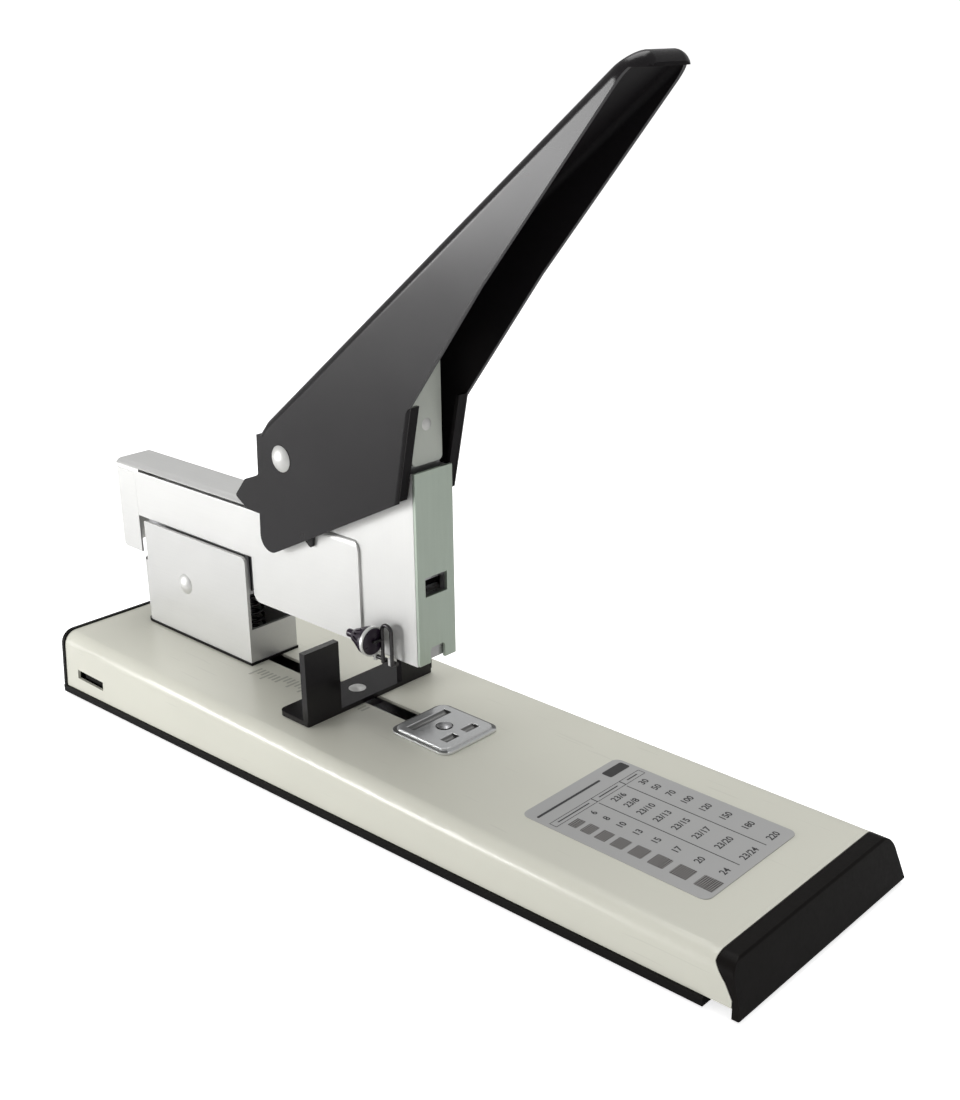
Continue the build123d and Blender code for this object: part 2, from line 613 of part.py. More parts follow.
def press_arm():
    """Arm inside the handle that reaches down to the hammer."""
    inset = 1.75
    outline = [(-33, web_height(-33) - inset), (-14, web_height(-14) - inset), (PRESS_U + 2.7, PRESS_H + 1.5),
               (PRESS_U - 1.0, PRESS_H - 2.9)]
    arm = side_plate(outline, -2.4, 2.4) + rod_y(PRESS_U, PRESS_H, 2.95, -2.4, 2.4)
    foot = [(u, web_height(u) - drop) for u, drop in ((-36, inset), (-10, inset), (-10, inset + 1.6),
                                                      (-36, inset + 1.6))]
    arm += side_plate(foot, -8, 8)
    return arm - rod_y(PRESS_U, PRESS_H, 1.8, -20, 20)


def press_pin():
    """Cross pin at the end of the press arm."""
    return rod_y(PRESS_U, PRESS_H, 1.78, -5.7, 5.7)


# ---- pusher -------------------------------------------------------------------------------
def pusher():
    """Follower that pushes the staple strip forward along the rail."""
    block = box(-13, 4.5, -6.35, 6.35, 46.25, 50.2)
    legs = box(-13, 4.5, 6.05, 6.4, 30, 46.25) + box(-13, 4.5, -6.4, -6.05, 30, 46.25)
    return block + legs


# ---- latch --------------------------------------------------------------------------------
LATCH_Y = -8.7
LATCH_H = 22.1
KNOB_Y = -13.4
KNOB_H = 29.6


def latch_wire():
    """Wire loop of the magazine latch with its hinge bar and the stub that holds the knob."""
    wire = rod_x(LATCH_Y, LATCH_H, 0.68, -9.6, 0.6)
    loop_y = LATCH_Y - 1.6
    bow = Pos(-1.9, loop_y, 32.6) * Rot(90, 0, 0) * Torus(2.0, 0.6)
    wire += bow & box(-6, 2, loop_y - 1, loop_y + 1, 32.6, 36)
    for u in (-3.9, 0.1):
        wire += rod_z(u, loop_y, 0.6, LATCH_H, 32.6)
        wire += rod_y(u, LATCH_H, 0.6, loop_y, LATCH_Y)
        wire += Pos(u, loop_y, LATCH_H) * Sphere(0.6)
    wire += rod_y(-3.9, KNOB_H, 0.5, KNOB_Y, loop_y)
    wire += Pos(-3.9, KNOB_Y, KNOB_H) * Sphere(0.5)
    wire += rod_x(KNOB_Y, KNOB_H, 0.5, -9, -3.9)
    return wire


def latch_knob():
    """Small black cone-shaped grip of the latch."""
    profile = make_face(Polyline((0, 0), (1.1, 0), (1.3, 2.2), (2.3, 3.6), (2.5, 5.0), (4.5, 8.6),
                                 (4.7, 9.6), (4.7, 11.0), (0, 11.0), close=True))
    cone = revolve(Plane.XZ * profile, Axis.Z)
    knob = Pos(-15.6, KNOB_Y, KNOB_H) * Rot(0, 90, 0) * cone
    return knob - rod_x(KNOB_Y, KNOB_H, 0.52, -9.1, 0)


# ---- export -------------------------------------------------------------------------------
ROW_FRAME = [base_shell, bottom_tray, side_clips, front_end_cap, shell_posts, tray_screws, rubber_feet]
DECK_FRAME = [inner_channel, anvil_block, anvil_rivet, size_label, bracket_pad, rear_bracket,
              bracket_screws, bracket_nuts, head_pivot_pin, return_spring, anvil_plate, depth_guide, guide_shoe,
              guide_rivet, head_housing, rear_cap, pivot_frame, pivot_bush, front_housing, front_plate,
              staple_guide, magazine_rail, pusher_rod, pusher_spring, pivot_ears, ear_rivets, handle_pin,
              handle_spring, hammer_block, driver_blade, hammer_cover, hammer_rivet, handle_channel, press_arm,
              press_pin, pusher, latch_wire, latch_knob]


def main():
    os.makedirs("parts", exist_ok=True)
    for build in ROW_FRAME:
        export_step(build(), f"parts/{build.__name__}.step")
    for build in DECK_FRAME:
        export_step(ON_DECK * build(), f"parts/{build.__name__}.step")


if __name__ == "__main__":
    main()
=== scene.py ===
import json
import math

import bpy
from mathutils import Matrix, Vector


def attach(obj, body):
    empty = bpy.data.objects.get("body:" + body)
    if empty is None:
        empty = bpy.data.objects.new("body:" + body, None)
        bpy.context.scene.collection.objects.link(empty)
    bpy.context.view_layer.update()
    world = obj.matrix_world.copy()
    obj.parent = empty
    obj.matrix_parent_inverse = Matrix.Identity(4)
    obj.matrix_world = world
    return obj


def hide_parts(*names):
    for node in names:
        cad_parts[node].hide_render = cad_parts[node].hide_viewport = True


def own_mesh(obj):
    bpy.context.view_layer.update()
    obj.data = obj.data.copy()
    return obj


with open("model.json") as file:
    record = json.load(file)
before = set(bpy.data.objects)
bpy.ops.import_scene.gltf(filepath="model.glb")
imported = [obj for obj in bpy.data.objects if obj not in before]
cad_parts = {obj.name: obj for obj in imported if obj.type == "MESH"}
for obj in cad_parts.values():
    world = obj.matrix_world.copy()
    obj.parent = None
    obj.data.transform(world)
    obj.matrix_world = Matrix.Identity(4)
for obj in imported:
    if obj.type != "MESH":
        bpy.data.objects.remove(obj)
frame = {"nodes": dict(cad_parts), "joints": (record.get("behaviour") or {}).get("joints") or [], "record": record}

bl_info = {
    "name": "Long reach stapler",
    "version": (1, 0, 0),
    "blender": (4, 5, 0),
    "location": "3D View > Sidebar > Stapler",
    "description": "Finishes, printed table and studio for a long reach stapler",
    "category": "Object",
}

MM = 0.001
# Places on the deck frame in millimetres.
ANVIL_U = 11.4
LABEL_TOP = 0.205
LEVER_INSIDE = 11.25
GRIP_PLACE = Vector((-15.6, -13.4, 29.6))
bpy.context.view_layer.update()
BODY = {node: body for body, nodes in frame["record"]["behaviour"]["bodies"].items() for node in nodes}
SLOT = {part["node"]: part["material_slot"] for part in frame["record"]["subparts"]}
JOINT = {joint["name"]: joint for joint in frame["joints"]}


def deck_frame():
    """Matrix from the deck's own frame to the row frame: u along the deck, y across, h off it."""
    along = Vector(JOINT["guide_slide"]["axis"]).normalized()
    up = Vector(JOINT["anvil_turn"]["axis"]).normalized()
    across = up.cross(along)
    turning_centre = Vector(JOINT["anvil_turn"]["pos_m"])
    origin = turning_centre - along * ANVIL_U * MM - up * 1.0 * MM
    columns = Matrix((along, across, up)).transposed().to_4x4()
    return Matrix.Translation(origin) @ columns


DECK = deck_frame()


# ---- sizes and colours a user would change --------------------------------------------------
class StaplerPaint(bpy.types.PropertyGroup):
    ivory: bpy.props.FloatVectorProperty(
        name="Ivory paint", description="Colour of the painted base cover", subtype="COLOR",
        size=3, min=0, max=1, default=(0.74, 0.735, 0.64))
    black: bpy.props.FloatVectorProperty(
        name="Black paint", description="Colour of the lever, the saddle and the paper guide",
        subtype="COLOR", size=3, min=0, max=1, default=(0.0095, 0.0080, 0.0092))
    nickel: bpy.props.FloatVectorProperty(
        name="Nickel plate", description="Colour of the plated head and bracket", subtype="COLOR",
        size=3, min=0, max=1, default=(0.765, 0.765, 0.75))
    front_steel: bpy.props.FloatVectorProperty(
        name="Front plate", description="Colour of the brushed plate in front of the driver",
        subtype="COLOR", size=3, min=0, max=1, default=(0.49, 0.56, 0.485))
    label: bpy.props.FloatVectorProperty(
        name="Sticker", description="Ground colour of the size table", subtype="COLOR",
        size=3, min=0, max=1, default=(0.44, 0.44, 0.435))


class StaplerSizes(bpy.types.PropertyGroup):
    edge: bpy.props.FloatProperty(
        name="Sheet edge", description="Rounding of the cut edges of sheet steel", subtype="DISTANCE",
        unit="LENGTH", default=0.00022, min=0.00005, max=0.001)
    moulded_edge: bpy.props.FloatProperty(
        name="Moulded edge", description="Rounding of the edges of moulded parts", subtype="DISTANCE",
        unit="LENGTH", default=0.00045, min=0.0001, max=0.002)
    ink: bpy.props.FloatProperty(
        name="Ink height", description="Thickness of printed marks", subtype="DISTANCE",
        unit="LENGTH", default=0.00003, min=0.00001, max=0.0002)


class StaplerStudio(bpy.types.PropertyGroup):
    key: bpy.props.FloatProperty(
        name="Side light", description="Power of the low light on the near side", subtype="POWER",
        unit="POWER", default=4.2, min=0)
    top: bpy.props.FloatProperty(
        name="Top light", description="Power of the light above", subtype="POWER", unit="POWER",
        default=7.0, min=0)
    surround: bpy.props.FloatProperty(
        name="Surround", description="Brightness of the white room", default=0.40, min=0)


# ---- selection and modelling helpers ---------------------------------------------------------
def clear_selection():
    """Leaves edit mode and deselects every object."""
    if bpy.context.object is not None and bpy.context.object.mode != "OBJECT":
        bpy.ops.object.mode_set(mode="OBJECT")
    bpy.ops.object.select_all(action="DESELECT")


def take(piece):
    """Makes one piece the only selected and the active object."""
    clear_selection()
    piece.select_set(True)
    bpy.context.view_layer.objects.active = piece


def edit(piece, kind="FACE"):
    """Opens a piece in edit mode with nothing selected."""
    take(piece)
    bpy.ops.object.mode_set(mode="EDIT")
    bpy.ops.mesh.select_mode(type=kind)
    bpy.ops.mesh.select_all(action="DESELECT")


def pick_faces(piece, test):
    """Selects the faces whose centre and normal pass a test, in edit mode."""
    bpy.ops.object.mode_set(mode="OBJECT")
    for face in piece.data.polygons:
        face.select = bool(test(face.center, face.normal))
    bpy.ops.object.mode_set(mode="EDIT")


def close_up(piece, smooth=35.0):
    """Merges doubles, turns the faces outwards and shades the piece."""
    edit(piece)
    bpy.ops.mesh.select_all(action="SELECT")
    bpy.ops.mesh.remove_doubles(threshold=1e-7)
    bpy.ops.mesh.normals_make_consistent(inside=False)
    bpy.ops.object.mode_set(mode="OBJECT")
    bpy.ops.object.shade_smooth_by_angle(angle=math.radians(smooth))


def settle(piece, place=None):
    """Puts a piece's place into its mesh, leaving the object at the origin."""
    take(piece)
    if place is not None:
        piece.matrix_world = place @ piece.matrix_world
    bpy.ops.object.transform_apply(location=True, rotation=True, scale=True)


def join(pieces, name):
    """Joins pieces into the first and names it."""
    clear_selection()
    for piece in pieces:
        piece.select_set(True)
    bpy.context.view_layer.objects.active = pieces[0]
    if len(pieces) > 1:
        bpy.ops.object.join()
    joined = bpy.context.object
    joined.name = joined.data.name = name
    return joined


def paint_with(piece, material):
    """Gives a piece one material."""
    piece.data.materials.clear()
    piece.data.materials.append(material)


def place_piece(piece, body, slot, material, *nodes):
    """Finishes a new piece: material, body and the nodes it stands for. The slot is not used."""
    paint_with(piece, material)
    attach(piece, body)
    if nodes:
        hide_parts(*nodes)


def soften(node, edge, material, fold=28.0, segments=2):
    """Welded copy of a node with its cut edges rounded, standing in for the node."""
    piece = bpy.data.objects.new(node + "_finished", frame["nodes"][node].data.copy())
    bpy.context.scene.collection.objects.link(piece)
    edit(piece, "EDGE")
    bpy.ops.mesh.customdata_custom_splitnormals_clear()
    bpy.ops.mesh.select_all(action="SELECT")
    bpy.ops.mesh.remove_doubles(threshold=2e-6)
    bpy.ops.mesh.dissolve_limited(angle_limit=math.radians(0.5))
    bpy.ops.mesh.select_all(action="DESELECT")
    bpy.ops.mesh.edges_select_sharp(sharpness=math.radians(fold))
    bpy.ops.mesh.bevel(offset=edge, segments=segments, profile=0.6, affect="EDGES", clamp_overlap=True)
    bpy.ops.object.mode_set(mode="OBJECT")
    bpy.ops.object.shade_smooth_by_angle(angle=math.radians(40))
    even = piece.modifiers.new("Even shading", "WEIGHTED_NORMAL")
    even.keep_sharp = True
    bpy.ops.object.modifier_apply(modifier=even.name)
    place_piece(piece, BODY[node], SLOT[node], material, node)
    return piece


def second_finish(piece, material, test):
    """Gives the faces that pass a test another finish."""
    piece.data.materials.append(material)
    for face in piece.data.polygons:
        if test(face):
            face.material_index = 1


def dress(node, material):
    """Gives a carried-over node its finish."""
    piece = frame["nodes"][node]
    if not piece.material_slots:
        raise RuntimeError(node + " has no material slot")
    for slot in piece.material_slots:
        slot.material = material


def printed_patch(u0, u1, y0, y1, h, thick, corner=0.0, border=0.0):
    """A printed patch on the deck frame in millimetres, as a frame if a border is given."""
    bpy.ops.mesh.primitive_plane_add(size=1, location=((u0 + u1) / 2 * MM, (y0 + y1) / 2 * MM, h * MM))
    patch = bpy.context.object
    patch.scale = ((u1 - u0) * MM, (y1 - y0) * MM, 1)
    bpy.ops.object.transform_apply(location=True, rotation=True, scale=True)
    edit(patch, "VERT")
    bpy.ops.mesh.select_all(action="SELECT")
    if corner:
        bpy.ops.mesh.bevel(offset=corner * MM, segments=3, affect="VERTICES")
    if border:
        bpy.ops.mesh.select_mode(type="FACE")
        bpy.ops.mesh.select_all(action="SELECT")
        bpy.ops.mesh.inset(thickness=border * MM)
        bpy.ops.mesh.delete(type="FACE")
    bpy.ops.mesh.select_mode(type="FACE")
    bpy.ops.mesh.select_all(action="SELECT")
    bpy.ops.mesh.extrude_region_move(TRANSFORM_OT_translate={"value": (0, 0, thick)})
    bpy.ops.object.mode_set(mode="OBJECT")
    close_up(patch, 20)
    return patch


def printed_number(words, u, y, h, size, thick):
    """A number printed across the deck, read from the near side to the far side."""
    bpy.ops.object.text_add(location=(u * MM, y * MM, h * MM), rotation=(0, 0, math.radians(90)))
    number = bpy.context.object
    number.data.body = words
    number.data.size = size * MM
    number.data.align_x = "CENTER"
    number.data.align_y = "CENTER"
    number.data.extrude = thick / 2
    number.data.offset = 0.00006
    number.data.resolution_u = 3
    bpy.ops.object.convert(target="MESH")
    number = bpy.context.object
    bpy.ops.object.transform_apply(location=True, rotation=True, scale=True)
    close_up(number, 20)
    return number


# ---- shader groups -----------------------------------------------------------------------------
def new_group(name, inputs, outputs):
    """Empty shader group with float or vector inputs and float or colour outputs."""
    group = bpy.data.node_groups.new(name, "ShaderNodeTree")
    for label, kind, value in inputs:
        socket = group.interface.new_socket(name=label, in_out="INPUT", socket_type=kind)
        socket.default_value = value
    for label, kind in outputs:
        group.interface.new_socket(name=label, in_out="OUTPUT", socket_type=kind)
    return group, group.nodes.new("NodeGroupInput"), group.nodes.new("NodeGroupOutput")


def maths(tree, operation, first, second=None, clamp=False):
    """A Math node; numbers go on the socket and sockets are linked."""
    node = tree.nodes.new("ShaderNodeMath")
    node.operation = operation
    node.use_clamp = clamp
    for socket, value in zip(node.inputs, (first, second)):
        if isinstance(value, (int, float)):
            socket.default_value = value
        elif value is not None:
            tree.links.new(value, socket)
    return node.outputs[0]


def ramp(tree, value, low, high, to_low=0.0, to_high=1.0):
    """Map Range from low..high to to_low..to_high, clamped."""
    node = tree.nodes.new("ShaderNodeMapRange")
    tree.links.new(value, node.inputs["Value"])
    node.inputs["From Min"].default_value = low
    node.inputs["From Max"].default_value = high
    node.inputs["To Min"].default_value = to_low
    node.inputs["To Max"].default_value = to_high
    return node.outputs["Result"]


def noise(tree, place, scale, detail=3.0, rough=0.5):
    """Noise read at a place; scale may be a number or a socket."""
    node = tree.nodes.new("ShaderNodeTexNoise")
    tree.links.new(place, node.inputs["Vector"])
    if isinstance(scale, (int, float)):
        node.inputs["Scale"].default_value = scale
    else:
        tree.links.new(scale, node.inputs["Scale"])
    node.inputs["Detail"].default_value = detail
    node.inputs["Roughness"].default_value = rough
    return node.outputs["Fac"]


def grain_group():
    """Fine surface relief and a soft tone that drifts over the piece."""
    group, given, result = new_group(
        "Surface grain", [("Place", "NodeSocketVector", (0, 0, 0)), ("Grain size", "NodeSocketFloat", 900.0),
                          ("Drift size", "NodeSocketFloat", 14.0)],
        [("Height", "NodeSocketFloat"), ("Drift", "NodeSocketFloat")])
    fine = noise(group, given.outputs["Place"], given.outputs["Grain size"], 2.0)
    coarse_size = maths(group, "MULTIPLY", given.outputs["Grain size"], 0.31)
    coarse = noise(group, given.outputs["Place"], coarse_size, 2.0)
    height = maths(group, "ADD", maths(group, "MULTIPLY", fine, 0.6), maths(group, "MULTIPLY", coarse, 0.4))
    drift = noise(group, given.outputs["Place"], given.outputs["Drift size"], 3.0, 0.6)
    group.links.new(height, result.inputs["Height"])
    group.links.new(ramp(group, drift, 0.3, 0.7), result.inputs["Drift"])
    return group


def brushed_group():
    """Fine lines drawn out along one direction."""
    group, given, result = new_group(
        "Brushed lines", [("Place", "NodeSocketVector", (0, 0, 0)), ("Pull", "NodeSocketVector", (1, 40, 40)),
                          ("Line size", "NodeSocketFloat", 60.0)],
        [("Lines", "NodeSocketFloat")])
    stretch = group.nodes.new("ShaderNodeVectorMath")
    stretch.operation = "MULTIPLY"
    group.links.new(given.outputs["Place"], stretch.inputs[0])
    group.links.new(given.outputs["Pull"], stretch.inputs[1])
    lines = noise(group, stretch.outputs[0], given.outputs["Line size"], 4.0, 0.65)
    group.links.new(ramp(group, lines, 0.32, 0.68), result.inputs["Lines"])
    return group


def wear_group():
    """Mask of worn outer edges, broken up so that it isn't even."""
    group, given, result = new_group(
        "Edge wear", [("Place", "NodeSocketVector", (0, 0, 0)), ("Width", "NodeSocketFloat", 0.0006),
                      ("Amount", "NodeSocketFloat", 0.5)],
        [("Mask", "NodeSocketFloat")])
    bevel = group.nodes.new("ShaderNodeBevel")
    bevel.samples = 4
    group.links.new(given.outputs["Width"], bevel.inputs["Radius"])
    geometry = group.nodes.new("ShaderNodeNewGeometry")
    dot = group.nodes.new("ShaderNodeVectorMath")
    dot.operation = "DOT_PRODUCT"
    group.links.new(bevel.outputs["Normal"], dot.inputs[0])
    group.links.new(geometry.outputs["Normal"], dot.inputs[1])
    edge = ramp(group, dot.outputs["Value"], 0.995, 0.90)
    breakup = ramp(group, noise(group, given.outputs["Place"], 160.0, 4.0, 0.7), 0.42, 0.62)
    mask = maths(group, "MULTIPLY", maths(group, "MULTIPLY", edge, breakup), given.outputs["Amount"], True)
    group.links.new(mask, result.inputs["Mask"])
    return group


def scratch_group():
    """Sparse hairline scratches and finger smudges."""
    group, given, result = new_group(
        "Handling marks", [("Place", "NodeSocketVector", (0, 0, 0)), ("Amount", "NodeSocketFloat", 0.5)],
        [("Scratches", "NodeSocketFloat"), ("Smudges", "NodeSocketFloat")])
    total = None
    for turn, scale in ((0.5, 34.0), (2.1, 27.0)):
        turned = group.nodes.new("ShaderNodeMapping")
        turned.inputs["Rotation"].default_value = (turn, turn * 0.7, turn * 1.3)
        turned.inputs["Scale"].default_value = (1.0, 26.0, 26.0)
        group.links.new(given.outputs["Place"], turned.inputs["Vector"])
        line = ramp(group, noise(group, turned.outputs["Vector"], scale, 1.0, 0.4), 0.735, 0.76)
        total = line if total is None else maths(group, "ADD", total, line, True)
    smudge = ramp(group, noise(group, given.outputs["Place"], 42.0, 4.0, 0.6), 0.52, 0.72)
    group.links.new(maths(group, "MULTIPLY", total, given.outputs["Amount"]), result.inputs["Scratches"])
    group.links.new(maths(group, "MULTIPLY", smudge, given.outputs["Amount"]), result.inputs["Smudges"])
    return group


GROUPS = {}


def place_group(tree, name, **values):
    """Puts a shader group in a material with its own values."""
    node = tree.nodes.new("ShaderNodeGroup")
    node.node_tree = GROUPS[name]
    for label, value in values.items():
        socket = node.inputs[label.replace("_", " ")]
        if isinstance(value, bpy.types.NodeSocket):
            tree.links.new(value, socket)
        else:
            socket.default_value = value
    return node.outputs


def tint(tree, mask, base, other):
    """Mixes two colours by a mask; each colour is a tuple or a socket."""
    node = tree.nodes.new("ShaderNodeMix")
    node.data_type = "RGBA"
    tree.links.new(mask, node.inputs[0])
    for socket, colour in ((node.inputs[6], base), (node.inputs[7], other)):
        if isinstance(colour, bpy.types.NodeSocket):
            tree.links.new(colour, socket)
        else:
            socket.default_value = (*colour, 1.0)
    return node.outputs[2]


def shade(colour, factor):
    """The same colour, lighter or darker."""
    return tuple(min(1.0, part * factor) for part in colour)


def new_material(name, colour):
    """Material with its tree, Principled shader and Object coordinates."""
    material = bpy.data.materials.new(name)
    material.use_nodes = True
    material.diffuse_color = (*colour, 1.0)
    tree = material.node_tree
    shader = tree.nodes["Principled BSDF"]
    place = tree.nodes.new("ShaderNodeTexCoord").outputs["Object"]
    return material, tree, shader, place


def relief(tree, shader, height, strength, distance):
    """Bump from a height into the shader's normal."""
    bump = tree.nodes.new("ShaderNodeBump")
    bump.inputs["Strength"].default_value = strength
    bump.inputs["Distance"].default_value = distance
    tree.links.new(height, bump.inputs["Height"])
    tree.links.new(bump.outputs["Normal"], shader.inputs["Normal"])


def painted(name, colour, rough, coat, worn, wear=0.5, peel=0.12, spread=0.06, gleam=0.5):
    """Sprayed paint on steel: fine peel, drifting tone, smudges and edges worn to metal or primer."""
    material, tree, shader, place = new_material(name, colour)
    grain = place_group(tree, "grain", Place=place, Grain_size=700.0, Drift_size=11.0)
    marks = place_group(tree, "scratch", Place=place, Amount=wear)
    edge = place_group(tree, "wear", Place=place, Width=0.0007, Amount=wear)
    body = tint(tree, grain["Drift"], shade(colour, 1 - spread), shade(colour, 1 + spread))
    body = tint(tree, maths(tree, "MULTIPLY", marks["Scratches"], 0.35), body, worn)
    body = tint(tree, edge["Mask"], body, worn)
    tree.links.new(body, shader.inputs["Base Color"])
    gloss = maths(tree, "ADD", ramp(tree, grain["Drift"], 0, 1, rough - 0.03, rough + 0.04),
                  maths(tree, "MULTIPLY", marks["Smudges"], 0.10), True)
    tree.links.new(gloss, shader.inputs["Roughness"])
    shader.inputs["Coat Weight"].default_value = coat
    shader.inputs["Coat Roughness"].default_value = 0.12
    shader.inputs["Specular IOR Level"].default_value = gleam
    relief(tree, shader, grain["Height"], peel, 0.00006)
    return material


def plated(name, colour, rough, pull, lines=0.5, line_size=60.0, stain=0.08, wear=0.35, metal=1.0,
           depth=0.10):
    """Plated or plain metal with fine drawn lines, faint stains and bright worn edges."""
    material, tree, shader, place = new_material(name, colour)
    grain = place_group(tree, "grain", Place=place, Grain_size=1400.0, Drift_size=26.0)
    brush = place_group(tree, "brushed", Place=place, Pull=pull, Line_size=line_size)
    marks = place_group(tree, "scratch", Place=place, Amount=wear)
    edge = place_group(tree, "wear", Place=place, Width=0.0005, Amount=wear)
    body = tint(tree, grain["Drift"], shade(colour, 1 - stain), colour)
    body = tint(tree, maths(tree, "MULTIPLY", brush["Lines"], lines * 0.25), body, shade(colour, 0.82))
    body = tint(tree, edge["Mask"], body, shade(colour, 1.25))
    tree.links.new(body, shader.inputs["Base Color"])
    shader.inputs["Metallic"].default_value = metal
    gloss = maths(tree, "ADD", ramp(tree, brush["Lines"], 0, 1, rough - 0.05, rough + 0.07),
                  maths(tree, "MULTIPLY", marks["Smudges"], 0.12))
    gloss = maths(tree, "ADD", gloss, maths(tree, "MULTIPLY", marks["Scratches"], 0.15), True)
    tree.links.new(gloss, shader.inputs["Roughness"])
    height = maths(tree, "ADD", maths(tree, "MULTIPLY", brush["Lines"], lines),
                   maths(tree, "MULTIPLY", grain["Height"], 0.25))
    relief(tree, shader, height, depth, 0.00004)
    return material


def moulded(name, colour, rough, grain_size=1100.0, depth=0.35, wear=0.3, gleam=0.08):
    """Moulded plastic or rubber with a fine spark-eroded texture."""
    material, tree, shader, place = new_material(name, colour)
    grain = place_group(tree, "grain", Place=place, Grain_size=grain_size, Drift_size=20.0)
    marks = place_group(tree, "scratch", Place=place, Amount=wear)
    edge = place_group(tree, "wear", Place=place, Width=0.0008, Amount=wear)
    body = tint(tree, grain["Drift"], shade(colour, 0.85), shade(colour, 1.2))
    body = tint(tree, marks["Smudges"], body, shade(colour, 1.7))
    body = tint(tree, edge["Mask"], body, shade(colour, 2.6))
    tree.links.new(body, shader.inputs["Base Color"])
    gloss = maths(tree, "ADD", ramp(tree, grain["Height"], 0.3, 0.7, rough - 0.06, rough + 0.08),
                  maths(tree, "MULTIPLY", marks["Smudges"], 0.1), True)
    tree.links.new(gloss, shader.inputs["Roughness"])
    shader.inputs["Specular IOR Level"].default_value = gleam
    relief(tree, shader, grain["Height"], depth, 0.00012)
    return material


def hatched(name, colour, ground, pitch):
    """Printed half-tone: small dark dots on the sticker's ground."""
    material, tree, shader, place = new_material(name, colour)
    grain = place_group(tree, "grain", Place=place, Grain_size=2500.0, Drift_size=90.0)
    check = tree.nodes.new("ShaderNodeTexChecker")
    check.inputs["Scale"].default_value = 1 / pitch
    turned = tree.nodes.new("ShaderNodeMapping")
    turned.inputs["Rotation"].default_value = (0, 0, math.radians(45))
    turned.inputs["Location"].default_value = (0.5, 0.5, 0.5)
    tree.links.new(place, turned.inputs["Vector"])
    tree.links.new(turned.outputs["Vector"], check.inputs["Vector"])
    dots = tint(tree, check.outputs["Fac"], colour, ground)
    faded = tint(tree, maths(tree, "MULTIPLY", grain["Drift"], 0.25), dots, colour)
    tree.links.new(faded, shader.inputs["Base Color"])
    tree.links.new(ramp(tree, grain["Height"], 0.3, 0.7, 0.38, 0.5), shader.inputs["Roughness"])
    return material


# ---- finishes --------------------------------------------------------------------------------------
FINISH = {}


class STAPLER_OT_finishes(bpy.types.Operator):
    """Builds the shader groups and every finish"""
    bl_idname = "stapler.finishes"
    bl_label = "Finishes"

    def execute(self, context):
        paint = context.scene.stapler_paint
        GROUPS.update(grain=grain_group(), brushed=brushed_group(), wear=wear_group(),
                      scratch=scratch_group())
        nickel = tuple(paint.nickel)
        FINISH.update(
            ivory=painted("Ivory paint", tuple(paint.ivory), 0.34, 0.25, (0.30, 0.29, 0.26), 0.22, 0.10,
                          0.025),
            black=painted("Black paint", tuple(paint.black), 0.23, 0.0, (0.035, 0.033, 0.034), 0.25, 0.05,
                          0.15, 0.32),
            # Inside of the lever's channel: black darkened to 0.8 with less gleam, painted shade where the channel
            # is unlit
            thin_black=painted("Black paint, painted shade inside", shade(tuple(paint.black), 0.8), 0.55, 0.0,
                               (0.035, 0.033, 0.034), 0.25, 0.10, 0.15, 0.12),
            grey=painted("Grey plate", (0.64, 0.675, 0.61), 0.40, 0.1, (0.55, 0.55, 0.55), 0.4, 0.10, 0.05),
            nickel=plated("Nickel plate", nickel, 0.40, (1, 30, 30), 0.15, 40.0, 0.03, 0.3, 0.6, 0.03),
            nickel_up=plated("Nickel plate, upright lines", nickel, 0.40, (30, 30, 1), 0.15, 40.0, 0.03,
                             0.3, 0.6, 0.03),
            # Bracket: the nickel darkened to 0.9, painted shade over the whole bracket
            bracket=plated("Nickel plate, bracket, painted shade", shade(nickel, 0.90), 0.42, (1, 30, 30), 0.15, 40.0, 0.04,
                           0.3, 0.6, 0.03),
            front=plated("Front plate steel", tuple(paint.front_steel), 0.36, (30, 30, 1), 0.5, 40.0, 0.08,
                         0.35, 0.7, 0.06),
            chrome=plated("Chrome", (0.80, 0.81, 0.81), 0.14, (8, 8, 8), 0.12, 120.0, 0.08, 0.4, 0.65, 0.05),
            # Chrome darkened to 0.22 for the anvil's grooves
            groove=plated("Darker chrome", (0.22, 0.22, 0.215), 0.34, (8, 8, 8), 0.3, 120.0, 0.15, 0.4, 0.9,
                          0.05),
            steel=plated("Plain steel", (0.50, 0.50, 0.51), 0.34, (20, 20, 2), 0.6, 60.0, 0.18, 0.6, 0.9),
            rivet=plated("Rivet steel", (0.76, 0.76, 0.74), 0.46, (6, 6, 6), 0.2, 150.0, 0.08, 0.3, 0.55,
                         0.05),
            # Blackened steel; on the latch wire its dark colour is a painted dark reflection of the wire
            dark_steel=plated("Blackened steel, painted reflection on wire", (0.085, 0.082, 0.085), 0.32, (12, 12, 3), 0.4, 60.0, 0.2,
                              0.5),
            plastic=moulded("Black plastic", (0.007, 0.0065, 0.006), 0.42),
            grip=moulded("Grip plastic", (0.022, 0.013, 0.026), 0.30, 900.0, 0.10, 0.2, 0.4),
            cap=moulded("End cap plastic", (0.0065, 0.0055, 0.005), 0.38, 900.0, 0.22, 0.2),
            rubber=moulded("Rubber", (0.030, 0.030, 0.031), 0.75, 700.0, 0.5, 0.1),
            sticker=painted("Sticker film", tuple(paint.label), 0.36, 0.3, (0.42, 0.42, 0.42), 0.15, 0.04,
                            0.03),
            ink=painted("Black ink", (0.018, 0.017, 0.018), 0.40, 0.1, (0.10, 0.10, 0.10), 0.15, 0.04, 0.2),
            mark_ink=painted("Grey ink", (0.50, 0.50, 0.435), 0.42, 0.1, (0.60, 0.60, 0.53), 0.5, 0.04,
                             0.12),
            hatch=hatched("Half-tone ink", (0.035, 0.030, 0.028), (0.30, 0.29, 0.28), 0.00045))
        return {"FINISHED"}


